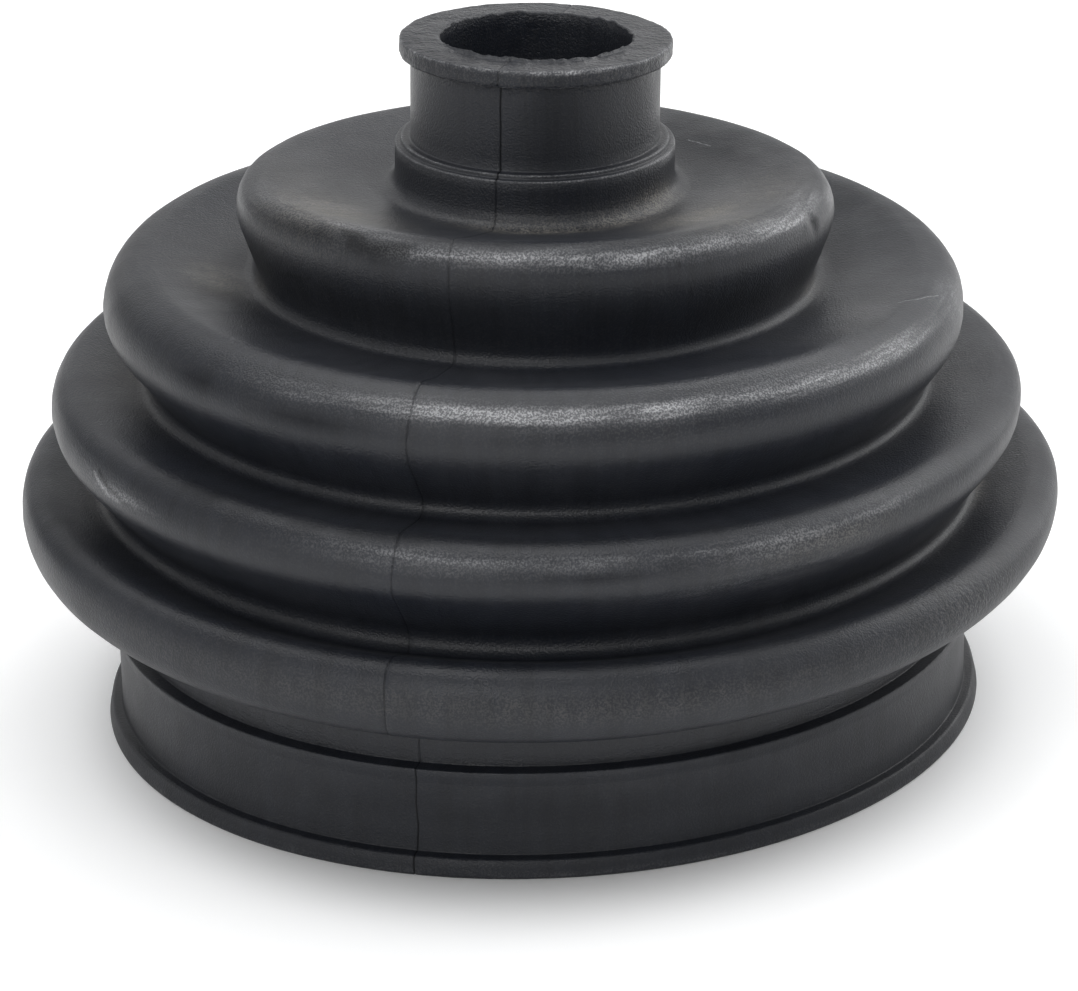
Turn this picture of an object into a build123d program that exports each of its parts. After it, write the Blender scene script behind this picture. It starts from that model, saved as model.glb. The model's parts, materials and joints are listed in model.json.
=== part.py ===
from build123d import *

import math
import os

# A moulded rubber bellows boot, one piece of rubber turned about +Z.
# Its wide collar stands on the plane z = 0 with the axis through the origin.
# All sizes are millimetres. Each height is a step up from the feature below it,
# so the folds stack on the wide collar and the small collar stands on the folds.

# Wide collar, from the base up. The wide bore follows from the collar's wall.
clamp_seat_radius = 46.65
clamp_seat_width = 7.7
wide_collar_wall = 3.85
wide_bore_entry = 0.6
lip_height = 2.1
lip_reach_top = 0.9
lip_reach_base = 1.35
lip_edge_round = 0.35
ridge_height = 1.6
ridge_flare = 0.35
ridge_edge_round = 0.2
ridge_ledge = 1.6

# Throat between the wide collar and the lowest fold
throat_rise = 4.6
throat_round = 2.0
throat_inner_rise = 1.0

# Folds, the lowest first. Overhang is how far a fold reaches out past the groove
# (or throat) below it, step is how far the groove above it goes back in. A fold's
# shoulder is its upper round, which ends where the skin is this much off upright.
fold_shoulder_angle = math.radians(20)
fold_4_overhang = 10.75
fold_4_rise = 12.9
fold_4_upper_round = 2.9
fold_4_lower_round = 4.2
groove_3_step = 8.9
groove_3_rise = 3.25
fold_3_overhang = 4.9
fold_3_rise = 7.75
fold_3_upper_round = 3.3
fold_3_lower_round = 3.6
groove_2_step = 10.15
groove_2_rise = 3.45
fold_2_overhang = 3.8
fold_2_rise = 7.45
fold_2_upper_round = 4.5
fold_2_lower_round = 5.0
groove_1_step = 15.95
groove_1_rise = 3.8
fold_1_overhang = 2.05
fold_1_rise = 6.35
fold_1_upper_round = 3.0
fold_1_lower_round = 4.7
groove_round = 1.1
bellows_wall = 2.0

# Small collar, from the top fold up. The neck is a wall round the small bore, and
# the root ring and the flange reach out from the neck.
small_bore_radius = 10.1
small_bore_edge_round = 0.3
small_collar_wall = 2.95
neck_height = 9.1
root_fillet = 1.6
root_rise = 3.55
root_mouth_round = 1.5
root_ring_reach = 1.8
root_ring_height = 3.3
root_step_width = 0.65
root_step_height = 0.45
flange_reach = 1.15
flange_thickness = 1.85

# Rounds on the small collar's outer corners, and on the inner corners of both
shoulder_edge_round = 0.25
inner_corner_round = 0.2

OUTWARD = 1
INWARD = -1
SAME_POINT = 0.00001


class Round:
    """One arc of the wall's section: OUTWARD for a fold's crest, INWARD for a groove."""

    def __init__(self, radius, height, size, turn):
        self.radius = radius
        self.height = height
        self.size = size
        self.turn = turn

    def at_depth(self, depth):
        """The same arc on the parallel skin that lies depth inside the outer one."""
        size = self.size - self.turn * depth
        return Round(self.radius, self.height, size, self.turn)

    def point(self, angle):
        """The skin's point where its outward normal has this angle above level."""
        reach = self.turn * self.size
        across = self.radius + reach * math.cos(angle)
        up = self.height + reach * math.sin(angle)
        return (across, up)


def crest(widest, height, upper_size, lower_size):
    """A fold's crest: a shoulder arc, and the arc below it with the widest point."""
    lower = Round(widest - lower_size, height, lower_size, OUTWARD)
    across, up = lower.point(fold_shoulder_angle)
    across -= upper_size * math.cos(fold_shoulder_angle)
    up -= upper_size * math.sin(fold_shoulder_angle)
    return [Round(across, up, upper_size, OUTWARD), lower]


def groove(narrowest, height, size):
    """The arc at the bottom of a groove, centred outside the wall."""
    return Round(narrowest + size, height, size, INWARD)


def shared_normal(first, second):
    """The normal's angle on the straight stretch that touches both arcs."""
    across = second.radius - first.radius
    up = second.height - first.height
    gap = math.hypot(across, up)
    lean = (first.turn * first.size - second.turn * second.size) / gap
    # A crest's two arcs touch at one point, where rounding could take lean past 1.
    lean = max(-1.0, min(1.0, lean))
    angle = math.atan2(up, across) + math.acos(lean)
    return math.remainder(angle, math.tau)


def skin(rounds):
    """Arcs and straight stretches through the rounds, upright at both ends."""
    normals = [0.0]
    for first, second in zip(rounds, rounds[1:]):
        normals.append(shared_normal(first, second))
    normals.append(0.0)
    edges = []
    last = None
    for piece, start, end in zip(rounds, normals, normals[1:]):
        entry = piece.point(start)
        middle = piece.point((start + end) / 2)
        leave = piece.point(end)
        if last is not None and math.dist(last, entry) > SAME_POINT:
            edges.append(Line(last, entry))
        edges.append(ThreePointArc(entry, middle, leave))
        last = leave
    return edges


# Radii and heights of the wide collar
wide_bore_radius = clamp_seat_radius - wide_collar_wall
seat_top = lip_height + clamp_seat_width
collar_top = seat_top + ridge_height
ridge_radius = clamp_seat_radius + ridge_flare
throat_radius = ridge_radius - ridge_ledge

# Radii and heights of the folds and grooves, upwards
fold_4_radius = throat_radius + fold_4_overhang
groove_3_radius = fold_4_radius - groove_3_step
fold_3_radius = groove_3_radius + fold_3_overhang
groove_2_radius = fold_3_radius - groove_2_step
fold_2_radius = groove_2_radius + fold_2_overhang
groove_1_radius = fold_2_radius - groove_1_step
fold_1_radius = groove_1_radius + fold_1_overhang

throat_height = collar_top + throat_rise
fold_4_height = collar_top + fold_4_rise
groove_3_height = fold_4_height + groove_3_rise
fold_3_height = groove_3_height + fold_3_rise
groove_2_height = fold_3_height + groove_2_rise
fold_2_height = groove_2_height + fold_2_rise
groove_1_height = fold_2_height + groove_1_rise
fold_1_height = groove_1_height + fold_1_rise
root_height = fold_1_height + root_rise

# Radii and heights of the small collar
neck_radius = small_bore_radius + small_collar_wall
root_ring_radius = neck_radius + root_ring_reach
flange_radius = neck_radius + flange_reach
ring_top = root_height + root_ring_height
neck_base = ring_top + root_step_height
flange_base = neck_base + neck_height
boot_top = flange_base + flange_thickness

folds = (
    crest(fold_1_radius, fold_1_height, fold_1_upper_round, fold_1_lower_round)
    + [groove(groove_1_radius, groove_1_height, groove_round)]
    + crest(fold_2_radius, fold_2_height, fold_2_upper_round, fold_2_lower_round)
    + [groove(groove_2_radius, groove_2_height, groove_round)]
    + crest(fold_3_radius, fold_3_height, fold_3_upper_round, fold_3_lower_round)
    + [groove(groove_3_radius, groove_3_height, groove_round)]
    + crest(fold_4_radius, fold_4_height, fold_4_upper_round, fold_4_lower_round)
    + [groove(throat_radius, throat_height, throat_round)]
)

# The outer skin runs from the root ring down to the throat. The inner skin is
# parallel to it, and starts from the small bore's mouth instead.
root = groove(root_ring_radius, root_height, root_fillet)
outer_rounds = [root] + folds

mouth_height = root_height - root_fillet - bellows_wall + root_mouth_round
mouth = groove(small_bore_radius, mouth_height, root_mouth_round)
inner_rounds = [mouth] + [fold.at_depth(bellows_wall) for fold in folds]


def small_collar():
    """The root ring, neck and flange outside, and the small bore inside."""
    corners = [
        (mouth.point(0.0), None),
        ((small_bore_radius, boot_top), small_bore_edge_round),
        ((flange_radius, boot_top), shoulder_edge_round),
        ((flange_radius, flange_base), shoulder_edge_round),
        ((neck_radius, flange_base), inner_corner_round),
        ((neck_radius, neck_base), inner_corner_round),
        ((root_ring_radius - root_step_width, neck_base), inner_corner_round),
        ((root_ring_radius - root_step_width, ring_top), 0),
        ((root_ring_radius, ring_top), shoulder_edge_round),
        (root.point(0.0), None),
    ]
    return stretch(corners)


def wide_collar():
    """The ridge, clamp seat and lip outside, and the wide bore inside."""
    throat = folds[-1]
    inner_throat = inner_rounds[-1]
    inner_radius = throat_radius - bellows_wall
    corners = [
        (throat.point(0.0), None),
        ((throat_radius, collar_top), inner_corner_round),
        ((ridge_radius, collar_top), ridge_edge_round),
        ((clamp_seat_radius, seat_top), 0),
        ((clamp_seat_radius, lip_height), inner_corner_round),
        ((clamp_seat_radius + lip_reach_top, lip_height), lip_edge_round),
        ((clamp_seat_radius + lip_reach_base, 0), lip_edge_round),
        ((wide_bore_radius + wide_bore_entry, 0), 0),
        ((wide_bore_radius, wide_bore_entry), 0),
        ((wide_bore_radius, collar_top), 0),
        ((inner_radius, collar_top + throat_inner_rise), 0),
        (inner_throat.point(0.0), None),
    ]
    return stretch(corners)


def stretch(corners):
    """A run of straight lines, with each inner corner rounded as its pair says."""
    points = [point for point, corner_round in corners]
    rounds = [corner_round for point, corner_round in corners[1:-1]]
    return FilletPolyline(points, radius=rounds)


def bellows_boot():
    """The closed section of the wall, turned about the axis."""
    outline = skin(outer_rounds) + skin(inner_rounds) + [wide_collar(), small_collar()]
    section = make_face(Plane.XZ * (Curve() + outline))
    return revolve(section, Axis.Z)


os.makedirs("parts", exist_ok=True)
export_step(bellows_boot(), "parts/bellows_boot.step")
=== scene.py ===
import json
import math

import bpy
import numpy as np
from mathutils import Euler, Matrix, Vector, noise


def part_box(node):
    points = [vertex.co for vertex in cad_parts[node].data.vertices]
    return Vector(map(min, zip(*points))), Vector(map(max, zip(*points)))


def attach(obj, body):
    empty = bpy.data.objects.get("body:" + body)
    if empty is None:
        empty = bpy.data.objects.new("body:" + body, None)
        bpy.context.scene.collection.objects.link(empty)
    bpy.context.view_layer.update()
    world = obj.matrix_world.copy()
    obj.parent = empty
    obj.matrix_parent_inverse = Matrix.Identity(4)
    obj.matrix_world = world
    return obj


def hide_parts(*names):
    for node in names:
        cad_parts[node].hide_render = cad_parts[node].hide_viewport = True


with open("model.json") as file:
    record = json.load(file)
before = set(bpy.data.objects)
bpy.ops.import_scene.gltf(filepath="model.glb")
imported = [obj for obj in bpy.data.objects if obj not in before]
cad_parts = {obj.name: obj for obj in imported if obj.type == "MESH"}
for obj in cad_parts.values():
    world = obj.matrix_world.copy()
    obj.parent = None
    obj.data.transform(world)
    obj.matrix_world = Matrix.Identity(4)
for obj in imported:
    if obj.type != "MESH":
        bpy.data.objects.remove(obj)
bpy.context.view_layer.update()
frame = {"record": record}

# A moulded rubber bellows boot, as one closed mesh round the frame's solid.
# Lengths are metres, written in millimetres times MM. Angles are degrees.
MM = 0.001

# ---------------------------------------------------------------- sizes of the boot
_, solid_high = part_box("bellows_boot")
mount_sizes = {mount["name"]: mount["dims"] for mount in frame["record"]["mounts"]}
small_bore_radius = mount_sizes["small_bore"]["r_mm"] * MM
wide_bore_radius = mount_sizes["wide_bore"]["r_mm"] * MM
boot_top = solid_high.z
widest_radius = solid_high.x

# Wide collar, from the base up
lip_height = 2.1 * MM
clamp_seat_radius = 46.65 * MM
clamp_seat_width = 7.7 * MM
lip_reach_top = 1.1 * MM
lip_reach_base = 1.58 * MM
lip_edge_round = 0.35 * MM
ridge_height = 1.6 * MM
ridge_flare = 0.35 * MM
ridge_edge_round = 0.2 * MM
ridge_ledge = 1.6 * MM
wide_bore_entry = 0.6 * MM
throat_inner_rise = 1.0 * MM
seat_top = lip_height + clamp_seat_width
collar_top = seat_top + ridge_height
ridge_radius = clamp_seat_radius + ridge_flare
throat_radius = ridge_radius - ridge_ledge
throat_rise = 4.6 * MM
throat_height = collar_top + throat_rise
throat_round = 2.0 * MM

# Folds from the top one down: widest radius, height, upper round, lower round. The lowest
# reaches out a little past the solid.
lowest_fold_reach = 0.15 * MM
fold_sizes = [
    (31.8 * MM, 56.35 * MM, 3.0 * MM, 4.7 * MM),
    (46.0 * MM, 46.2 * MM, 4.5 * MM, 5.0 * MM),
    (52.25 * MM, 35.3 * MM, 3.0 * MM, 3.6 * MM),
    (widest_radius + lowest_fold_reach, 24.3 * MM, 2.9 * MM, 4.2 * MM),
]
fold_shoulder_angle = math.radians(20)
# Grooves between them: narrowest radius, height
groove_sizes = [
    (29.85 * MM, 50.0 * MM),
    (42.0 * MM, 38.75 * MM),
    (47.25 * MM, 27.55 * MM),
]
groove_round = 1.1 * MM
bellows_wall = 2.0 * MM

# Small collar
root_fillet = 1.6 * MM
root_height = 59.9 * MM
root_ring_radius = 14.85 * MM
root_mouth_round = 1.5 * MM
ring_top = 63.2 * MM
root_step_width = 0.65 * MM
neck_base = 63.65 * MM
neck_radius = 13.18 * MM
flange_base = 72.75 * MM
flange_radius = 14.35 * MM
small_bore_edge_round = 0.3 * MM
shoulder_edge_round = 0.25 * MM
corner_round = 0.15 * MM

# ---------------------------------------------------------------- section of the wall
OUTWARD = 1
INWARD = -1
SAME_POINT = 0.001

# Longest step between the section's points, by how closely the place is seen
seen_step = 1.3 * MM
seen_arc_step = 0.85 * MM
edge_step = 0.3 * MM
hidden_step = 5.0 * MM
hidden_arc_step = 2.0 * MM


class Round:
    """One arc of the wall's section: OUTWARD for a fold's crest, INWARD for a groove."""

    def __init__(self, radius, height, size, turn):
        self.radius = radius
        self.height = height
        self.size = size
        self.turn = turn

    def at_depth(self, depth):
        """The same arc on the parallel skin that lies depth inside the outer one."""
        size = self.size - self.turn * depth
        return Round(self.radius, self.height, size, self.turn)

    def point(self, angle):
        """The skin's point where its outward normal has this angle above level."""
        reach = self.turn * self.size
        across = self.radius + reach * math.cos(angle)
        up = self.height + reach * math.sin(angle)
        return (across, up)


def crest(widest, height, upper_size, lower_size):
    """A fold's crest: a shoulder arc, and the arc below it with the widest point."""
    lower = Round(widest - lower_size, height, lower_size, OUTWARD)
    across, up = lower.point(fold_shoulder_angle)
    across -= upper_size * math.cos(fold_shoulder_angle)
    up -= upper_size * math.sin(fold_shoulder_angle)
    return [Round(across, up, upper_size, OUTWARD), lower]


def groove(narrowest, height, size):
    """The arc at the bottom of a groove, centred outside the wall."""
    return Round(narrowest + size, height, size, INWARD)


def shared_normal(first, second):
    """The normal's angle on the straight stretch that touches both arcs."""
    across = second.radius - first.radius
    up = second.height - first.height
    gap = math.hypot(across, up)
    slant = (first.turn * first.size - second.turn * second.size) / gap
    # A crest's two arcs touch at one point, where rounding could take the slant past 1.
    slant = max(-1.0, min(1.0, slant))
    angle = math.atan2(up, across) + math.acos(slant)
    return math.remainder(angle, math.tau)


def straight(start, end, step):
    """Points from start towards end, without end itself, and none where the two meet."""
    count = math.ceil(math.dist(start, end) / step - SAME_POINT)
    shares = [number / count for number in range(count)]
    return [tuple(np.add(start, np.subtract(end, start) * share)) for share in shares]


def skin(rounds, flat_step, arc_step):
    """Points along the arcs and straight stretches, upright at both ends."""
    normals = [0.0]
    for first, second in zip(rounds, rounds[1:]):
        normals.append(shared_normal(first, second))
    normals.append(0.0)
    points = []
    for piece, start, end in zip(rounds, normals, normals[1:]):
        if points:
            points += straight(points.pop(), piece.point(start), flat_step)
        count = max(2, math.ceil(abs(end - start) * piece.size / arc_step))
        turns = np.linspace(start, end, count + 1)
        points += [piece.point(turn) for turn in turns]
    return points


def rounded_corner(before, corner, after, size, step):
    """Points on an arc of that size that touches both of the corner's sides."""
    corner = np.array(corner)
    back = np.subtract(before, corner)
    on = np.subtract(after, corner)
    back = back / np.linalg.norm(back)
    on = on / np.linalg.norm(on)
    half = math.acos(np.clip(back @ on, -1, 1)) / 2
    middle = (back + on) / np.linalg.norm(back + on)
    centre = corner + middle * size / math.sin(half)
    start = corner + back * size / math.tan(half) - centre
    end = corner + on * size / math.tan(half) - centre
    sweep = math.pi - 2 * half
    count = max(2, math.ceil(sweep * size / step))
    shares = [number / count for number in range(count + 1)]
    weights = [(math.sin((1 - s) * sweep), math.sin(s * sweep)) for s in shares]
    return [tuple(centre + (start * a + end * b) / math.sin(sweep)) for a, b in weights]


def collar(corners):
    """Points along straight sides with rounded corners.

    Each corner is (point, round, step of the side that leads up to it)."""
    points = [corners[0][0]]
    for before, here, after in zip(corners, corners[1:], corners[2:]):
        arc = rounded_corner(before[0], here[0], after[0], here[1], edge_step)
        points += straight(points.pop(), arc[0], here[2])
        points += arc
    last_point, _, last_step = corners[-1]
    points += straight(points.pop(), last_point, last_step)
    return points


folds = []
for fold_size, groove_size in zip(fold_sizes, groove_sizes):
    folds += crest(*fold_size)
    folds.append(groove(*groove_size, groove_round))
folds += crest(*fold_sizes[-1])
folds.append(groove(throat_radius, throat_height, throat_round))

root = groove(root_ring_radius, root_height, root_fillet)
mouth_height = root_height - root_fillet - bellows_wall + root_mouth_round
mouth = groove(small_bore_radius, mouth_height, root_mouth_round)
inner_rounds = [mouth] + [fold.at_depth(bellows_wall) for fold in folds]
step_radius = root_ring_radius - root_step_width


def small_collar():
    """Up the small bore, over the flange and down the neck to the root ring."""
    return collar([
        (mouth.point(0.0), None, None),
        ((small_bore_radius, boot_top), small_bore_edge_round, seen_step),
        ((flange_radius, boot_top), shoulder_edge_round, edge_step),
        ((flange_radius, flange_base), shoulder_edge_round, edge_step),
        ((neck_radius, flange_base), corner_round, edge_step),
        ((neck_radius, neck_base), corner_round, seen_step),
        ((step_radius, neck_base), corner_round, edge_step),
        ((step_radius, ring_top), corner_round, edge_step),
        ((root_ring_radius, ring_top), shoulder_edge_round, edge_step),
        (root.point(0.0), None, seen_step),
    ])


def wide_collar():
    """Down the ridge, clamp seat and lip, under the base and up the wide bore."""
    throat = folds[-1]
    inner_throat = inner_rounds[-1]
    inner_radius = throat_radius - bellows_wall
    return collar([
        (throat.point(0.0), None, None),
        ((throat_radius, collar_top), corner_round, seen_step),
        ((ridge_radius, collar_top), ridge_edge_round, seen_step),
        ((clamp_seat_radius, seat_top), corner_round, seen_step),
        ((clamp_seat_radius, lip_height), corner_round, seen_step),
        ((clamp_seat_radius + lip_reach_top, lip_height), lip_edge_round, seen_step),
        ((clamp_seat_radius + lip_reach_base, 0), lip_edge_round, seen_step),
        ((wide_bore_radius + wide_bore_entry, 0), corner_round, hidden_step),
        ((wide_bore_radius, wide_bore_entry), corner_round, hidden_step),
        ((wide_bore_radius, collar_top), corner_round, hidden_step),
        ((inner_radius, collar_top + throat_inner_rise), corner_round, hidden_step),
        (inner_throat.point(0.0), None, hidden_step),
    ])


def wall_section():
    """The closed section, round the small collar, outer skin, wide collar and inner skin."""
    outer = skin([root] + folds, seen_step, seen_arc_step)
    inner = skin(inner_rounds, hidden_step, hidden_arc_step)[::-1]
    return np.array(small_collar() + outer[:-1] + wide_collar() + inner[:-1])


# ---------------------------------------------------------------- mesh of the boot
# Azimuth is measured in the plan from -Y, the front, towards +X.
part_line_azimuth = -16.5
half_turn = 180
column_spacing = 0.75
near_half_width = 100
far_share = 3
# Columns beside a parting line: distance from it, and the most degrees that this may be
part_line_sides = [(0.08 * MM, 0.2), (0.16 * MM, 0.4)]
part_line_half_width = part_line_sides[-1][0]
# The line's own columns are those within its reach, which ends just past its half-width
part_line_reach = 1.01 * part_line_half_width


def azimuth_grid(radii):
    """Azimuths in radians, a row for each point of the section.

    The far side has a third of the columns. Each of the two parting lines lies on a column and
    has four more beside it, which keep their distance in metres at every radius."""
    columns = []
    for number in range(round(2 * half_turn / column_spacing)):
        turned = number * column_spacing
        azimuth = math.remainder(part_line_azimuth + turned, 2 * half_turn)
        if abs(azimuth) < near_half_width or number % far_share == 0:
            columns.append(np.radians(np.full_like(radii, turned)))
        if turned % half_turn == 0:
            for distance, widest in part_line_sides:
                beside = np.minimum(distance / radii, math.radians(widest))
                columns.append(math.radians(turned) + beside)
                columns.append(math.radians(turned) - beside)
    columns.sort(key=lambda column: column[0])
    return math.radians(part_line_azimuth) + np.array(columns).T


def normals_of(points):
    """Outward unit normals of the closed section, which runs with the rubber on its right."""
    along = np.roll(points, -1, axis=0) - np.roll(points, 1, axis=0)
    along /= np.linalg.norm(along, axis=1)[:, None]
    return np.stack([-along[:, 1], along[:, 0]], axis=1)


# The soft boot doesn't stand quite straight. For each of these heights: lean towards +X, tip
# towards -Y, how far it has moved to +X and up, and how far its sides are above that.
fold_1_height, fold_2_height, fold_3_height, fold_4_height = [size[1] for size in fold_sizes]
groove_1_height, groove_2_height, groove_3_height = [size[1] for size in groove_sizes]
ridge_level = 12 * MM
ring_level = 59.5 * MM
neck_level = 71 * MM
flange_level = 75 * MM
stance = np.array([
    (0, 0, 0, 0, 0, 0),
    (ridge_level, 0.57, 0.1, 0.22 * MM, 0, 0),
    (fold_4_height, 0.85, 2.91, 0.5 * MM, -0.03 * MM, 0.82 * MM),
    (groove_3_height, 1.5, 1.86, 0.43 * MM, 0, 0),
    (fold_3_height, 0.99, 2.17, 0.46 * MM, 0.46 * MM, 0),
    (groove_2_height, 2.0, 1.16, 0.79 * MM, 0, 0),
    (fold_2_height, 1.89, 0.7, 0.56 * MM, -0.11 * MM, -0.17 * MM),
    (groove_1_height, 2.31, 1.39, 0.93 * MM, 0, 0),
    (fold_1_height, 2.37, -2.16, 1.16 * MM, 0.08 * MM, -0.29 * MM),
    (ring_level, 2.15, 0.9, 1.2 * MM, 0, 0),
    (neck_level, 2.3, 0.3, 1.7 * MM, 0, 0),
    (flange_level, 2.8, -0.9, 1.92 * MM, -0.3 * MM, 0),
])


def stance_levels(radii, heights):
    """Each point's height in the stance. Across the level top it changes with the radius."""
    ring_foot = root_ring_radius + root_fillet
    top_edge = fold_sizes[0][0] - bellows_wall
    across = np.interp(radii, (ring_foot, top_edge), (ring_level, fold_1_height))
    on_top = np.where(radii < ring_foot, np.maximum(heights, ring_level), across)
    within_groove = radii < groove_sizes[0][0] - 2 * bellows_wall
    is_top = (heights > fold_1_height) | within_groove
    return np.where(is_top, on_top, heights)


def lean(points):
    """The points of the straight boot, moved as the soft one stands."""
    x, y, z = points.T
    radii = np.hypot(x, y)
    level = stance_levels(radii, z)
    levels, *columns = stance.T
    slope, tip, aside, lift, sides = [np.interp(level, levels, column) for column in columns]
    tilted = np.radians(tip) * y - np.radians(slope) * x
    saddle = sides * (x * x - y * y) / radii ** 2
    return np.stack([x + aside, y, z + tilted + lift + saddle], axis=1)


# ---------------------------------------------------------------- unevenness of the rubber
# Soft swells of the skin: where they are by size, and how far they reach off the plain shape
fold_swells = [(16 * MM, 0.10 * MM), (6 * MM, 0.03 * MM)]
collar_swells = [(14 * MM, 0.03 * MM)]
flange_swells = [(2.6 * MM, 0.07 * MM), (0.8 * MM, 0.06 * MM)]

# The parting line is a fine groove: its depths in its middle and at the columns beside it.
# It strays a little, in waves of this size, and the shade painted along it is fainter on the folds
# than on the collars.
part_line_depths = (0.1 * MM, 0.03 * MM, 0)
part_line_stray = 0.2 * MM
part_line_most_stray = 0.25
part_line_wave = 3 * MM
seam_on_folds = 0.4

# Flash left standing round the mouth of the small bore: where it is highest, how high and
# how far out of line it is, and the size of its waves
flash_azimuths = (-80, -55, 10, 60, 85, 180)
flash_heights = (0.05 * MM, 0.34 * MM, 0.3 * MM, 0.34 * MM, 0.08 * MM, 0.12 * MM)
flash_waves = [(1.5 * MM, 0.16 * MM), (0.6 * MM, 0.08 * MM)]
flash_waves_upward = 2

# Marks on the rubber. Each is an azimuth, a radius and a height, a half-width, a half-breadth
# and a strength.
# Scuffs and painted highlights: pale wear on the crests and edges, placed and strengthened along the
# crests' highlights and on the lit edges of the root ring and the flange, so that it paints those
# highlights too
scuffs_and_highlights = [
    (-66, 29.8, 59.8, 9, 1.2, 0.16),
    (-38, 29.4, 59.9, 6, 0.8, 0.4),
    (-86, 31.2, 58.3, 7, 1.0, 0.3),
    (-16, 31.0, 58.7, 8, 0.8, 0.45),
    (2, 31.05, 58.6, 8, 0.7, 0.75),
    (18, 31.2, 58.4, 8, 0.6, 0.75),
    (36, 31.05, 58.65, 8, 0.7, 0.55),
    (54, 30.9, 58.8, 7, 0.9, 0.75),
    (86, 31.2, 58.3, 7, 1.0, 0.3),
    (68, 30.0, 59.5, 5, 1.5, 0.35),
    (-28, 44.5, 49.3, 9, 0.9, 0.2),
    (-12, 44.3, 49.4, 9, 0.8, 0.95),
    (0, 44.5, 49.3, 9, 0.7, 1.3),
    (14, 44.4, 49.4, 8, 0.8, 0.95),
    (27, 44.3, 49.5, 9, 0.9, 0.6),
    (40, 44.5, 49.3, 8, 0.8, 0.8),
    (53, 44.5, 49.3, 8, 0.8, 1.0),
    (63, 44.5, 49.3, 5, 0.8, 0.3),
    (76, 44.6, 48.9, 5, 2.0, 0.3),
    (-13, 51.6, 37.2, 10, 0.8, 0.3),
    (3, 51.6, 37.1, 9, 0.7, 0.2),
    (17, 51.7, 37.0, 8, 0.7, 0.2),
    (27, 51.8, 36.7, 9, 0.9, 0.36),
    (40, 51.6, 37.1, 8, 0.8, 0.25),
    (27, 51.4, 33.2, 14, 1.3, 0.13),
    (-56, 52.1, 35.8, 5, 0.6, 0.45),
    (0, 14.35, 74.5, 100, 0.14, 0.6),
    (0, 14.35, 72.8, 100, 0.1, 0.3),
    (12, 14.35, 74.5, 4, 0.25, 0.9),
    (70, 14.35, 73.8, 1.5, 0.7, 0.6),
    (0, 14.2, 63.65, 100, 0.13, 0.4),
    (0, 14.85, 63.15, 100, 0.13, 0.35),
    (75, 14.85, 63.15, 5, 0.3, 0.5),
    (0, 48.3, 0.5, 400, 0.3, 0.08),
]
# Dusty bloom and painted highlights: a pale warm film, which on the top fold also paints its glints,
# and which paints the highlights along the root fillet, in the grooves at the sides and low on the
# lowest fold's front
blooms_and_highlights = [
    (-55, 26, 59.4, 8, 4.5, 0.85),
    (-80, 26, 59.5, 9, 4, 0.2),
    (50, 22.5, 59.1, 6, 3.5, 0.95),
    (70, 25, 59.5, 8, 4, 0.35),
    (-80, 34.3, 49.6, 5, 3, 0.65),
    (60, 38, 50.4, 9, 4, 0.12),
    (-85, 42.5, 37.8, 8, 4, 0.2),
    (0, 16.4, 58.4, 8, 1.3, 0.55),
    (33, 16.0, 58.5, 6, 1.3, 0.55),
    (58, 15.2, 59.0, 4, 1.3, 0.9),
    (44, 27.5, 59.8, 6, 2.5, 0.5),
    (34, 51.8, 35.8, 8, 1.3, 0.3),
    (75, 29.9, 49.6, 4, 0.8, 0.5),
    (-76, 29.9, 49.6, 4, 0.8, 0.4),
    (70, 43.4, 41.2, 4, 1.0, 0.8),
    (78, 47.95, 26.5, 4, 0.8, 0.6),
    (-89, 43.3, 37.7, 4, 0.8, 0.5),
    (-80, 47.95, 26.5, 4, 0.7, 0.4),
    (0, 56.2, 25.4, 45, 1.0, 0.14),
    (-100, 45, 48, 30, 4, 0.1),
]
# Dark smears and painted shade: smudges on the folds, and darkening that paints the shade under the
# top fold, under the lowest fold on the ridge, between the root ring's edges, in the third groove,
# on the backs of the top two folds, and just above the crests' highlights
smears_and_shade = [
    (-29, 31.1, 58.5, 6, 0.9, 0.9),
    (-38, 30.7, 59.2, 2.2, 0.5, 0.9),
    (66, 31.5, 57.9, 0.8, 1.5, 0.9),
    (0, 29.7, 59.75, 13, 0.8, 0.7),
    (24, 29.8, 59.7, 8, 0.8, 0.5),
    (-63, 34, 49.4, 10, 4, 0.8),
    (-48, 45.5, 47.8, 5, 1.2, 0.8),
    (-30, 45.6, 47.0, 6, 1.0, 0.8),
    (125, 24, 59.3, 14, 6, 0.8),
    (118, 38, 50.0, 16, 6, 0.5),
    (-49, 30.9, 58.8, 7, 1.1, 0.95),
    (-60, 12.4, 74.6, 8, 2, 0.4),
    (0, 48.2, 26.8, 40, 1.0, 0.25),
    (24, 48.2, 26.8, 12, 1.0, 0.4),
    (0, 46.7, 7, 45, 3.5, 0.45),
    (28, 46.9, 11, 14, 1.5, 0.5),
    (8, 13.2, 68, 4, 8, 0.55),
    (0, 14.35, 63.4, 100, 0.12, 0.8),
    (0, 46.7, 2.0, 400, 3.5, 0.3),
    (-50, 51.9, 37.0, 8, 1.6, 0.5),
    (-40, 49.6, 38.5, 13, 1.6, 0.9),
    (-20, 50.2, 38.3, 13, 1.1, 0.7),
    (0, 49.6, 38.5, 40, 1.0, 0.75),
    (5, 52.1, 35.9, 5, 0.4, 0.6),
    (0, 53.6, 27.6, 45, 1.2, 0.6),
    (-70, 53.5, 27.6, 14, 2, 0.6),
    (0, 30.8, 53.2, 60, 2.4, 0.75),
    (0, 56.0, 21.5, 45, 2.5, 0.25),
]
coarse_spots = [
    (50, 55.9, 25.6, 9, 2.5, 0.8),
    (0, 12.4, 74.6, 100, 2.2, 0.9),
    (0, 14.35, 73.7, 100, 1.1, 0.7),
    (-56, 25, 59.5, 8, 4, 0.5),
    (12, 45.2, 47.8, 12, 1.5, 0.5),
    (4, 31.2, 58.4, 8, 1.0, 0.5),
]
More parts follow.
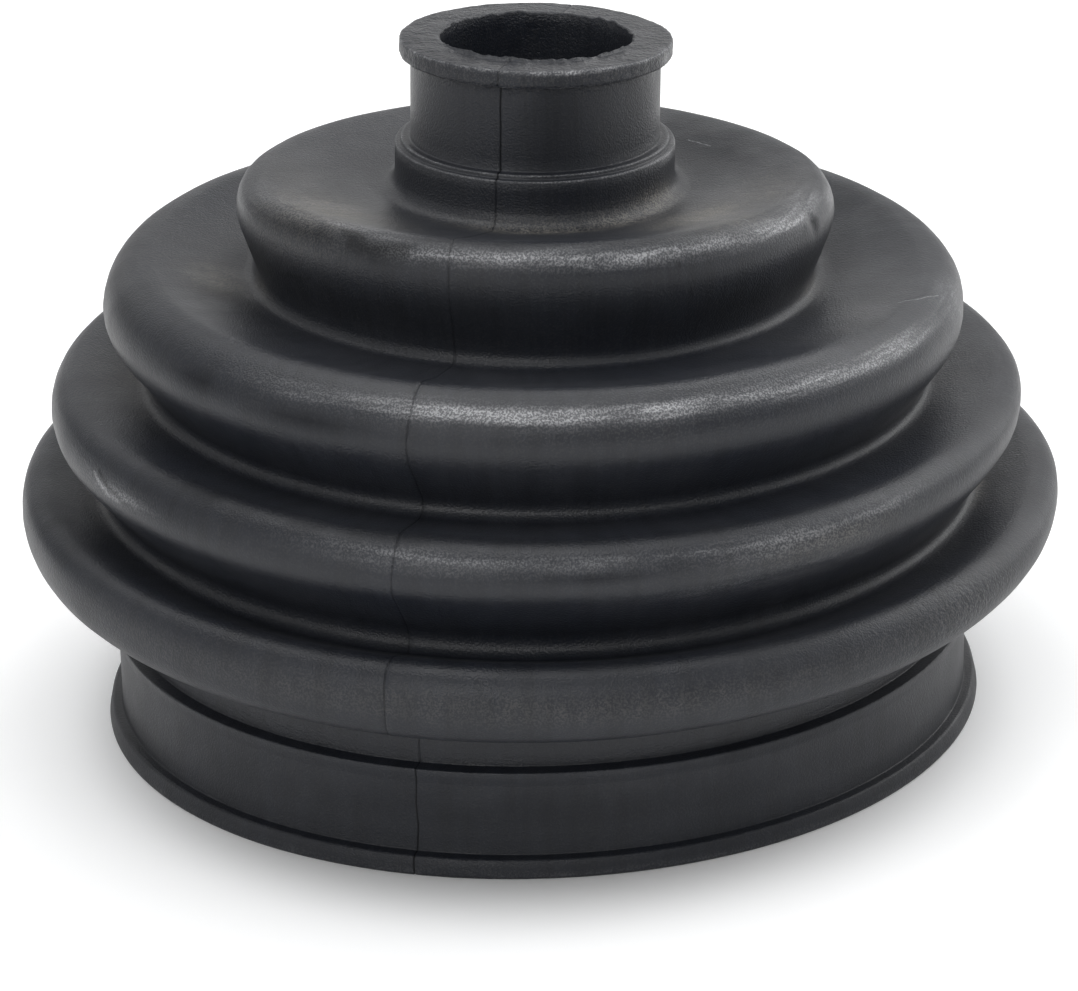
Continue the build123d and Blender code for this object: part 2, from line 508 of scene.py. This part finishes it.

# Scrapes and hairlines, in millimetres as the boot stands: the points along each, and its
# half-width
# The first two bright lines, on the front of the top crest, also paint its brightest highlight
bright_lines = [
    ([(6.9, -30.5, 59.7), (11.4, -29.4, 59.5), (15.0, -27.7, 59.4)], 0.22),
    ([(2.9, -31.3, 59.2), (6.2, -31.0, 58.9), (11.3, -29.7, 58.9)], 0.18),
    ([(15.0, -14.6, 58.2), (22.7, -20.2, 59.8)], 0.1),
    ([(18.2, 13.4, 58.3), (20.4, 11.0, 58.3)], 0.14),
    ([(-36.6, -26.0, 47.7), (-32.4, -31.3, 46.6), (-27.1, -36.0, 45.6)], 0.12),
    ([(-45.2, -24.7, 37.1), (-44.1, -27.4, 35.8), (-41.7, -31.0, 35.5), (-40.3, -32.7, 35.8)], 0.16),
    ([(38.3, -16.6, 49.1), (40.2, -15.6, 49.0), (42.6, -12.9, 48.3), (45.4, -10.0, 45.5)], 0.12),
]
dark_lines = [
    ([(-18.65, -22.8, 61.3), (-17.1, -24.0, 61.3), (-16.2, -25.2, 61.0)], 0.35),
    ([(-17.6, -24.8, 60.6), (-15.3, -26.6, 60.2), (-12.0, -28.2, 60.3)], 0.9),
    ([(-27.2, -12.1, 53.9), (-24.4, -17.9, 55.1), (-22.0, -21.1, 55.7)], 0.14),
    ([(-7.1, -29.1, 61.0), (-3.9, -17.1, 58.5)], 0.1),
    ([(38.0, -16.3, 49.1), (40.0, -15.3, 49.0), (42.4, -12.6, 48.3), (45.3, -9.7, 45.5)], 0.12),
    ([(7.1, -30.6, 59.4), (8.3, -30.6, 58.7), (12.2, -29.5, 58.5), (15.3, -28.3, 58.0)], 0.16),
    ([(-44.6, -25.4, 37.3), (-43.6, -28.0, 36.0), (-41.4, -31.3, 35.9)], 0.2),
]

# Dents and bumps: azimuth, radius, height, half-width, half-breadth, how far out
spots = [
    (-40, 30.2, 59.6, 2.2, 0.7, -0.10),
    (-33, 30.7, 59.2, 1.6, 0.6, -0.09),
    (-22.5, 31.2, 58.6, 3.5, 0.6, -0.06),
    (65.2, 31.6, 57.8, 0.9, 1.2, -0.22),
    (61.5, 31.5, 58.2, 0.7, 0.8, 0.10),
    (-61, 31.6, 54.0, 6.0, 0.5, -0.08),
    (-51, 45.2, 48.6, 5.5, 0.7, -0.12),
    (-47, 45.5, 47.6, 4.0, 0.6, 0.08),
    (-32, 45.7, 47.2, 5.0, 0.7, -0.10),
    (-58, 51.9, 36.6, 5.0, 0.6, -0.10),
    (7.5, 51.9, 36.6, 2.2, 0.5, -0.07),
    (-167, 10.1, 71.8, 0.6, 0.4, 0.20),
    (5, 14.3, 63.3, 1.4, 0.4, -0.06),
]


def swell(points, sizes):
    """How far soft noise of those sizes lifts each point."""
    lift = np.zeros(len(points))
    for size, reach in sizes:
        lift += [reach * noise.noise(Vector(point / size)) for point in points]
    return lift


def spot_share(azimuths, radii, heights, spot):
    """1 in the middle of the spot, fading to nothing round it."""
    azimuth, radius, height, width, breadth = spot[:5]
    turn = np.remainder(azimuths - math.radians(azimuth) + math.pi, math.tau) - math.pi
    around = turn * radius / width
    beside = np.hypot(radii / MM - radius, heights / MM - height) / breadth
    return np.exp(-around ** 2 - beside ** 2)


def outside_rows(section):
    """Which of the section's points are outside, from the flange's top to the lip's base."""
    numbers = np.arange(len(section))
    first = np.argmax(section[:, 1])
    last = np.flatnonzero((section[:, 0] > clamp_seat_radius) & (section[:, 1] < lip_height))[-1]
    return ((numbers >= first) & (numbers <= last))[:, None]


def part_line_distance(azimuths, radii):
    """How far each point is from the nearer parting line, round the boot."""
    quarter_turn = math.pi / 2
    turn = azimuths - math.radians(part_line_azimuth) + quarter_turn
    return np.abs(np.remainder(turn, math.pi) - quarter_turn) * radii


def strayed(azimuths, section):
    """The azimuths, with the parting lines and their sides swung a little out of line."""
    radii = section[:, :1]
    close = part_line_distance(azimuths, radii) <= part_line_reach
    sway = [noise.noise(Vector((across, up, 0)) / part_line_wave) for across, up in section]
    most = np.minimum(part_line_stray / radii, math.radians(part_line_most_stray))
    return azimuths + close * most * np.array(sway)[:, None]


def flash(azimuths, section):
    """How far the flash round the small bore's mouth stands up, and how far it leans out."""
    radii, heights = section[:, :1], section[:, 1:]
    degrees = np.degrees(np.remainder(azimuths + math.pi, math.tau) - math.pi)
    height = np.interp(degrees, flash_azimuths, flash_heights, period=2 * half_turn)
    around = np.stack([np.sin(azimuths), -np.cos(azimuths), 0 * azimuths], axis=-1)
    around *= small_bore_radius
    wave = swell(around.reshape(-1, 3), flash_waves).reshape(azimuths.shape)
    inner_half = small_bore_radius + small_bore_edge_round / 2
    edge = (heights > boot_top - 2 * edge_step) & (radii < inner_half)
    return edge * np.maximum(0, height + flash_waves_upward * wave), edge * wave


def relief(azimuths, surface, section):
    """How far each point of the plain boot stands off it along its normal."""
    radii, heights = section[:, :1], section[:, 1:]
    flat = surface.reshape(-1, 3)
    shape = azimuths.shape
    distances = [0] + [distance for distance, _ in part_line_sides]
    seam_depth = np.interp(part_line_distance(azimuths, radii), distances, part_line_depths)
    on_flange = (heights > flange_base - edge_step) & (radii > small_bore_radius + edge_step)
    on_folds = (heights > collar_top + edge_step) & (radii > root_ring_radius + edge_step)
    lift = np.where(on_folds, swell(flat, fold_swells).reshape(shape), 0)
    lift += np.where(on_folds, 0, swell(flat, collar_swells).reshape(shape))
    lift += np.where(on_flange, swell(flat, flange_swells).reshape(shape), 0)
    for spot in spots:
        lift += spot[5] * MM * spot_share(azimuths, radii, heights, spot)
    return lift - seam_depth * outside_rows(section)


def marks(azimuths, section, spots_of_kind):
    """The strength of the listed marks at each point, where 1 is a full one."""
    radii, heights = section[:, :1], section[:, 1:]
    strength = np.zeros(azimuths.shape)
    for spot in spots_of_kind:
        strength = np.maximum(strength, spot[5] * spot_share(azimuths, radii, heights, spot))
    return strength


def seam_shade_marks(azimuths, section):
    """The strength of the shade painted into the parting lines at each point, 0 to 1."""
    radii, heights = section[:, :1], section[:, 1:]
    seam_shade = 1 - part_line_distance(azimuths, radii) / part_line_half_width
    seam_shade = np.clip(seam_shade, 0, 1) * outside_rows(section)
    on_neck = (radii < neck_radius + root_fillet) & (heights < flange_base)
    on_wide_collar = heights < collar_top
    return np.where(on_neck | on_wide_collar, seam_shade, seam_on_folds * seam_shade)


def turned_about_axis(across, section):
    """The section's points, or its normals, turned to face each way in the plan."""
    levels, heights = section[:, None, :1], section[:, None, 1:]
    heights = np.broadcast_to(heights, across.shape[:2] + (1,))
    return np.concatenate([across * levels, heights], axis=-1)


def boot_surface(azimuths, section):
    """Every point of the boot as it stands, a row for each point of the section."""
    facing = strayed(azimuths, section)
    across = np.stack([np.sin(facing), -np.cos(facing)], axis=-1)
    surface = turned_about_axis(across, section)
    outward = turned_about_axis(across, normals_of(section))
    surface += outward * relief(azimuths, surface, section)[..., None]
    flash_up, flash_out = flash(azimuths, section)
    surface[..., 2] += flash_up
    surface[..., :2] += across * flash_out[..., None]
    return lean(surface.reshape(-1, 3))


def grid_faces(rows, columns):
    """Four-sided faces over a grid of points that closes on itself both ways."""
    here = np.arange(rows * columns).reshape(rows, columns)
    right = np.roll(here, -1, axis=1)
    below = np.roll(here, -1, axis=0)
    beyond = np.roll(right, -1, axis=0)
    return np.stack([here, below, beyond, right], axis=-1).reshape(-1, 4)


def boot_mesh():
    """The whole boot as one closed skin of four-sided faces, with the measures of its marks."""
    section = wall_section()
    azimuths = azimuth_grid(section[:, 0])
    vertices = boot_surface(azimuths, section)
    faces = grid_faces(*azimuths.shape)
    mesh = bpy.data.meshes.new("bellows_boot_rubber")
    mesh.from_pydata(vertices.tolist(), [], faces.tolist())
    mesh.shade_smooth()
    mesh.update()
    measures = {
        "scuff_and_highlight": marks(azimuths, section, scuffs_and_highlights),
        "bloom_and_highlight": marks(azimuths, section, blooms_and_highlights),
        "dark": marks(azimuths, section, smears_and_shade),
        "coarse": marks(azimuths, section, coarse_spots),
        "seam_shade": seam_shade_marks(azimuths, section),
    }
    for name, values in measures.items():
        layer = mesh.attributes.new(name, "FLOAT", "POINT")
        layer.data.foreach_set("value", values.astype(np.float32).ravel())
    return mesh


# ---------------------------------------------------------------- materials
class Shading:
    """Short ways to build a material. A value is a number or another node's output."""

    def __init__(self, name):
        self.material = bpy.data.materials.new(name)
        self.material.use_nodes = True
        self.tree = self.material.node_tree
        self.shader = self.tree.nodes["Principled BSDF"]

    def put(self, socket, value):
        """Set a socket, or link another node's output to it."""
        if isinstance(value, bpy.types.NodeSocket):
            self.tree.links.new(value, socket)
        else:
            socket.default_value = value

    def node(self, kind, inputs, **settings):
        """A node with its settings, and with each input set or linked."""
        node = self.tree.nodes.new(kind)
        for setting, value in settings.items():
            setattr(node, setting, value)
        for key, value in inputs.items():
            self.put(node.inputs[key], value)
        return node

    def math(self, operation, *values):
        """The result of an operation on one, two or three numbers."""
        inputs = dict(enumerate(values))
        return self.node("ShaderNodeMath", inputs, operation=operation).outputs[0]

    def vectors(self, operation, *values):
        """The result of an operation on one, two or three vectors."""
        inputs = dict(enumerate(values))
        outputs = self.node("ShaderNodeVectorMath", inputs, operation=operation).outputs
        gives_number = operation in ("LENGTH", "DISTANCE", "DOT_PRODUCT")
        return outputs["Value" if gives_number else "Vector"]

    def noise(self, place, size, detail, output="Fac"):
        """Soft noise with features of that size: a number from 0 to 1, or a colour."""
        inputs = {"Vector": place, "Scale": 1 / size, "Detail": detail}
        return self.node("ShaderNodeTexNoise", inputs).outputs[output]

    def rise(self, value, low, high, least=0.0, most=1.0):
        """The least up to low, the most from high on, and a smooth rise between."""
        inputs = {"Value": value, "From Min": low, "From Max": high}
        inputs.update({"To Min": least, "To Max": most})
        return self.node("ShaderNodeMapRange", inputs, interpolation_type="SMOOTHSTEP").outputs[0]

    def mixed(self, share, first, second):
        """A colour between two."""
        node = self.node("ShaderNodeMix", {0: share, 6: first, 7: second}, data_type="RGBA")
        return node.outputs[2]

    def distance(self, place, start, end):
        """How far a place is from the straight line between two points."""
        along = end - start
        reached = self.vectors("SUBTRACT", place, start)
        share = self.vectors("DOT_PRODUCT", reached, along / along.length_squared)
        share = self.node("ShaderNodeClamp", {0: share}).outputs[0]
        scaling = {0: along, "Scale": share}
        nearest = self.node("ShaderNodeVectorMath", scaling, operation="SCALE").outputs[0]
        return self.vectors("DISTANCE", reached, nearest)

    def lines(self, place, drawn):
        """1 along the middle of each drawn line, fading to nothing at its half-width."""
        nearest = 1.0
        for points, half_width in drawn:
            points = [Vector(point) * MM * flattened for point in points]
            for start, end in zip(points, points[1:]):
                distance = self.distance(place, start, end)
                distance = self.math("DIVIDE", distance, half_width * MM)
                nearest = self.math("MINIMUM", nearest, distance)
        return self.rise(nearest, 1.0, 0.0)

    def measure(self, name):
        """One of the measures that the mesh carries for each of its points."""
        return self.node("ShaderNodeAttribute", {}, attribute_name=name).outputs["Fac"]


# Colours of the bare rubber, of scuffs and painted highlights, of dusty bloom and painted
# highlights, and of dark smears and painted shade
rubber_colour = (0.0148, 0.0176, 0.0252, 1)
scuff_and_highlight_colour = (0.42, 0.425, 0.44, 1)
bloom_and_highlight_colour = (0.19, 0.18, 0.162, 1)
dark_colour = (0.004, 0.0045, 0.0055, 1)

# Noises over the rubber: the size of their features, and how much detail they have
grain_noise = (0.2 * MM, 1.0)
speck_noise = (0.5 * MM, 1.0)
leather_noise = (1.1 * MM, 2.0)
stray_noise = (3 * MM, 2.0)
mottle_noise = (7 * MM, 3.0)
cloud_noise = (28 * MM, 0.0)
streak_noise = (0.8 * MM, 3.0)
wiped_noise = (1.2 * MM, 2.0)
# Streaks run round the boot and wiped strokes up and down it. They are measured at this
# radius, and drawn out by these shares.
streak_radius = 45 * MM
streak_shrink = 0.1
wiped_shrink = 0.12

# How a noise works on the rubber: from which to which of its values it rises, and from
# what to what
scuff_and_highlight_streaks = (0.36, 0.7, 0.4, 1.15)
scuff_and_highlight_grain = (0.42, 0.62, 0.5, 1.6)
bloom_and_highlight_leather = (0.3, 0.7, 0.55, 1.1)
bloom_and_highlight_grain = (0.4, 0.58, 0.25, 1.45)
coarse_film = (0.5, 0.66, 0.0, 0.18)
dark_mottle = (0.25, 0.6, 0.55, 1.1)
dark_wiped = (0.35, 0.7, 0.0, 0.25)
roughness_mottle = (0.3, 0.7, 0.32, 0.4)
# A thin bloom lies on all of the rubber, by these noises
thin_films = {
    "grain": (0.48, 0.66, 0.0, 0.06),
    "mottle": (0.4, 0.7, 0.0, 0.015),
    "cloud": (0.35, 0.65, 0.0, 0.02),
}

# How strong the dark smears and their painted shade are, and the two kinds of lines
dark_strength = 0.6
bright_line_strength = 0.42
dark_line_strength = 0.6
# Roughness that a full mark of bloom and painted highlight, or of smear and painted shade,
# adds, the gloss, and what a full smear with its painted shade adds to it
bloom_and_highlight_roughness = 0.12
dark_roughness = 0.12
gloss = 0.5
dark_gloss = -0.35
# Depths of the finest unevenness
grain_depth = 0.06 * MM
speck_depth = 0.02 * MM
coarse_depth = 0.14 * MM
bloom_and_highlight_depth = 0.06 * MM

# Lines are matched in the plan, where heights count for this much, and stray by this much
flattened = Vector((1, 1, 0.25))
line_stray = 0.5 * MM
noise_middle = (0.5, 0.5, 0.5)


def rubber_noises(shading, place):
    """The noises that work on the rubber, by name."""
    parts = shading.node("ShaderNodeSeparateXYZ", {0: place}).outputs
    turn = shading.math("ARCTAN2", parts["X"], shading.math("MULTIPLY", parts["Y"], -1.0))
    around = shading.math("MULTIPLY", turn, streak_radius)
    radius = shading.vectors("LENGTH", shading.vectors("MULTIPLY", place, (1, 1, 0)))
    rolled_out = {0: around, 1: radius, 2: parts["Z"]}
    rolled_out = shading.node("ShaderNodeCombineXYZ", rolled_out).outputs[0]
    streaked = shading.vectors("MULTIPLY", rolled_out, (streak_shrink, 1, 1))
    upright = shading.vectors("MULTIPLY", rolled_out, (1, wiped_shrink, wiped_shrink))
    return {
        "grain": shading.noise(place, *grain_noise),
        "speck": shading.noise(place, *speck_noise),
        "leather": shading.noise(place, *leather_noise),
        "mottle": shading.noise(place, *mottle_noise),
        "cloud": shading.noise(place, *cloud_noise),
        "streak": shading.noise(streaked, *streak_noise),
        "wiped": shading.noise(upright, *wiped_noise),
    }


def bloom_and_highlight_share(shading, noises):
    """How much pale film lies at each place: crumbs of bloom and painted highlight, a thin layer of
    bloom and coarse dust.
    """
    crumbs = shading.rise(noises["leather"], *bloom_and_highlight_leather)
    crumbs = shading.math("MULTIPLY", crumbs, shading.rise(noises["grain"], *bloom_and_highlight_grain))
    share = shading.math("MULTIPLY", shading.measure("bloom_and_highlight"), crumbs)
    for name, thin_film in thin_films.items():
        share = shading.math("ADD", share, shading.rise(noises[name], *thin_film))
    dust = shading.rise(noises["grain"], *coarse_film)
    return shading.math("MULTIPLY_ADD", shading.measure("coarse"), dust, share)


def drawn_lines(shading, place):
    """The bright lines and the dark ones, which stray a little from where they are drawn."""
    stray = shading.noise(place, *stray_noise, output="Color")
    stray = shading.vectors("SUBTRACT", stray, noise_middle)
    place = shading.vectors("MULTIPLY_ADD", stray, (line_stray,) * 3, place)
    place = shading.vectors("MULTIPLY", place, flattened)
    return shading.lines(place, bright_lines), shading.lines(place, dark_lines)


def fine_height(shading, noises):
    """The finest unevenness of the skin, in metres."""
    height = shading.math("MULTIPLY", noises["grain"], grain_depth)
    height = shading.math("MULTIPLY_ADD", noises["speck"], speck_depth, height)
    coarse = shading.math("MULTIPLY", shading.measure("coarse"), coarse_depth)
    height = shading.math("MULTIPLY_ADD", noises["speck"], coarse, height)
    bloom_and_highlight = shading.math("MULTIPLY", shading.measure("bloom_and_highlight"), bloom_and_highlight_depth)
    return shading.math("MULTIPLY_ADD", noises["leather"], bloom_and_highlight, height)


def rubber():
    """Satin black moulded rubber with a grain, a dusty bloom and scuffed ridges, and with highlights
    and shade painted into its colour.
    """
    shading = Shading("rubber")
    sockets = shading.shader.inputs
    place = shading.node("ShaderNodeTexCoord", {}).outputs["Object"]
    noises = rubber_noises(shading, place)
    # The pale film paints highlights as well as dusty bloom
    bloomed_and_highlit = bloom_and_highlight_share(shading, noises)
    # Scuffs, with the highlights that the same mask paints on the crests and edges, broken up by the
    # grain and streaks
    broken = shading.rise(noises["grain"], *scuff_and_highlight_grain)
    scuffed_and_highlit = shading.math("MULTIPLY", broken, shading.rise(noises["streak"], *scuff_and_highlight_streaks))
    scuffed_and_highlit = shading.math("MULTIPLY", scuffed_and_highlit, shading.measure("scuff_and_highlight"))
    # Smears, with the shade that the same mask paints, made patchy by the mottle
    smeared_and_shaded = shading.rise(noises["mottle"], *dark_mottle)
    smeared_and_shaded = shading.math("MULTIPLY", smeared_and_shaded, shading.measure("dark"))
    wiped = shading.rise(noises["wiped"], *dark_wiped)
    bright, dim = drawn_lines(shading, place)
    bright = shading.math("MULTIPLY", bright, bright_line_strength)
    bright = shading.math("MULTIPLY", bright, broken)
    dim = shading.math("MULTIPLY", dim, dark_line_strength)
    # The parting line's groove is darkened with painted shade
    dim = shading.math("MAXIMUM", dim, shading.measure("seam_shade"))

    # The scuffs and the pale film paint highlights as well as wear and bloom, and the dark smears
    # and the parting line paint shade as well as smears
    colour = shading.mixed(bloomed_and_highlit, rubber_colour, bloom_and_highlight_colour)
    colour = shading.mixed(shading.math("MULTIPLY", smeared_and_shaded, dark_strength), colour, dark_colour)
    colour = shading.mixed(wiped, colour, dark_colour)
    colour = shading.mixed(scuffed_and_highlit, colour, scuff_and_highlight_colour)
    colour = shading.mixed(bright, colour, scuff_and_highlight_colour)
    colour = shading.mixed(dim, colour, dark_colour)
    shading.put(sockets["Base Color"], colour)

    roughness = shading.rise(noises["mottle"], *roughness_mottle)
    roughness = shading.math("MULTIPLY_ADD", bloomed_and_highlit, bloom_and_highlight_roughness, roughness)
    roughness = shading.math("MULTIPLY_ADD", smeared_and_shaded, dark_roughness, roughness)
    shading.put(sockets["Roughness"], roughness)
    darkest = shading.math("MAXIMUM", smeared_and_shaded, dim)
    darkest_gloss = shading.math("MULTIPLY_ADD", darkest, dark_gloss, gloss)
    shading.put(sockets["Specular IOR Level"], darkest_gloss)

    bumps = {"Strength": 1.0, "Distance": 1.0, "Height": fine_height(shading, noises)}
    bump = shading.node("ShaderNodeBump", bumps)
    shading.put(sockets["Normal"], bump.outputs[0])
    return shading.material


# The floor's white and its fibres, and the tint of its glow
fibre_noise = (1.5 * MM, 4.0)
fibre_white = (0.3, 0.7, 0.965, 0.975)
glow_colour = (0.97, 0.985, 1, 1)
# How strongly the floor glows for the camera, by the distance from the boot's axis, which
# counts a little more to the sides: faintly round the foot of the boot, which paints shade
# there on top of its cast shadow, and fully far away
near_glow = (47 * MM, 62 * MM, 0.0, 0.27)
far_glow = (0.4, 0.9, 0.0, 1.0)
glow_factors = (1.15, 1, 1)


def floor_paper():
    """Matt white paper. The camera sees it lifted to white with its shadows kept, less so round the
    boot's foot, which paints shade there.
    """
    shading = Shading("floor_paper")
    sockets = shading.shader.inputs
    place = shading.node("ShaderNodeTexCoord", {}).outputs["Object"]
    fibre = shading.rise(shading.noise(place, *fibre_noise), *fibre_white)
    colour = shading.node("ShaderNodeCombineXYZ", {0: fibre, 1: fibre, 2: fibre}).outputs[0]
    shading.put(sockets["Base Color"], colour)
    shading.put(sockets["Roughness"], 1.0)
    shading.put(sockets["Specular IOR Level"], 0.0)
    distance = shading.vectors("LENGTH", shading.vectors("MULTIPLY", place, glow_factors))
    near = shading.rise(distance, *near_glow)
    far = shading.rise(distance, *far_glow)
    path = shading.node("ShaderNodeLightPath", {})
    glow = shading.math("MAXIMUM", near, far)
    glow = shading.math("MULTIPLY", path.outputs["Is Camera Ray"], glow)
    shading.put(sockets["Emission Color"], glow_colour)
    shading.put(sockets["Emission Strength"], glow)
    return shading.material


# ---------------------------------------------------------------- pieces
mesh = boot_mesh()
boot = bpy.data.objects.new("rubber_boot", mesh)
bpy.context.scene.collection.objects.link(boot)
mesh.materials.append(rubber())
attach(boot, "root")
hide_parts("bellows_boot")

# ---------------------------------------------------------------- floor and light
floor_size = 6.0
bpy.ops.mesh.primitive_plane_add(size=floor_size, location=(0, 0, 0))
floor = bpy.context.object
floor.name = "floor"
floor.data.materials.append(floor_paper())

lamp_target = (0, 0, 35 * MM)
lamp_distance = 0.9


def softbox(name, azimuth, elevation, width, height, strength):
    """A soft area lamp that faces the boot. Its strength is the radiance of its face."""
    lamp = bpy.data.lights.new(name, "AREA")
    lamp.shape = "RECTANGLE"
    lamp.size = 2 * lamp_distance * math.tan(math.radians(width / 2))
    lamp.size_y = 2 * lamp_distance * math.tan(math.radians(height / 2))
    lamp.energy = strength * math.pi * lamp.size * lamp.size_y
    turn = math.radians(azimuth)
    rise = math.radians(elevation)
    level = math.cos(rise)
    away = Vector((math.sin(turn) * level, -math.cos(turn) * level, math.sin(rise)))
    holder = bpy.data.objects.new(name, lamp)
    holder.location = Vector(lamp_target) + away * lamp_distance
    holder.rotation_euler = away.to_track_quat("Z", "Y").to_euler()
    bpy.context.scene.collection.objects.link(holder)


# Softboxes stand in rings round the boot. For each ring: the elevation, width and height of
# its softboxes in degrees as the boot sees them, and the radiance of each by its azimuth.
light_rings = [
    (84, 40, 40, {0: 1.8}),
    (64, 40, 22, {-135: 0.9, -90: 0.85, -45: 0.3, 45: 0.2, 90: 0.25, 180: 0.85}),
    (44, 28, 18, {-150: 0.6, -120: 0.4, -90: 0.3, 90: 1.25, 120: 1.75, 150: 2.8, 180: 0.4}),
    (31, 56, 11, {-8: 0.65}),
    (27, 24, 16, {-154: 0.35, -128: 0.25, -102: 0.45, -51: 0.75, -25: 2.1, 0: 1.45}),
    (27, 24, 16, {25: 0.7, 51: 0.75, 77: 0.55, 102: 1.35, 128: 1.85, 154: 0.25}),
    (10, 24, 14, {-154: 0.7, -102: 0.8, -77: 0.8, -51: 0.7, -25: 0.95}),
    (10, 24, 14, {77: 0.9, 102: 1.3, 128: 2.0, 154: 0.7, 180: 1.1}),
]
for elevation, width, height, strengths in light_rings:
    for azimuth, strength in strengths.items():
        softbox(f"softbox_{elevation}_{azimuth}", azimuth, elevation, width, height, strength)

# The studio round it is plain white: at full strength for the camera, and faint as light
studio_light = 0.12
world = bpy.data.worlds.new("studio")
world.use_nodes = True
nodes, links = world.node_tree.nodes, world.node_tree.links
background = nodes["Background"]
background.inputs["Color"].default_value = (1, 1, 1, 1)
path = nodes.new("ShaderNodeLightPath")
brightness = nodes.new("ShaderNodeMapRange")
brightness.inputs["To Min"].default_value = studio_light
links.new(path.outputs["Is Camera Ray"], brightness.inputs["Value"])
links.new(brightness.outputs[0], background.inputs["Strength"])
bpy.context.scene.world = world
bpy.context.scene.view_settings.view_transform = "Standard"

# ---------------------------------------------------------------- camera
# The focal length and the image's width are in pixels, and the sensor in millimetres
sensor_width = 36.0
image_width = 1078
focal_pixels = 4107
camera_place = (0.36 * MM, -417.9 * MM, 190.0 * MM)
pitch_down = 21.85
roll = -2.17
camera_data = bpy.data.cameras.new("camera")
camera_data.sensor_width = sensor_width
camera_data.lens = focal_pixels / image_width * sensor_width
camera = bpy.data.objects.new("camera", camera_data)
camera.location = camera_place
raised = Euler((math.radians(90 - pitch_down), 0, 0)).to_matrix()
rolled = Euler((0, 0, math.radians(roll))).to_matrix()
camera.rotation_euler = (raised @ rolled).to_euler()
bpy.context.scene.collection.objects.link(camera)
bpy.context.scene.camera = camera
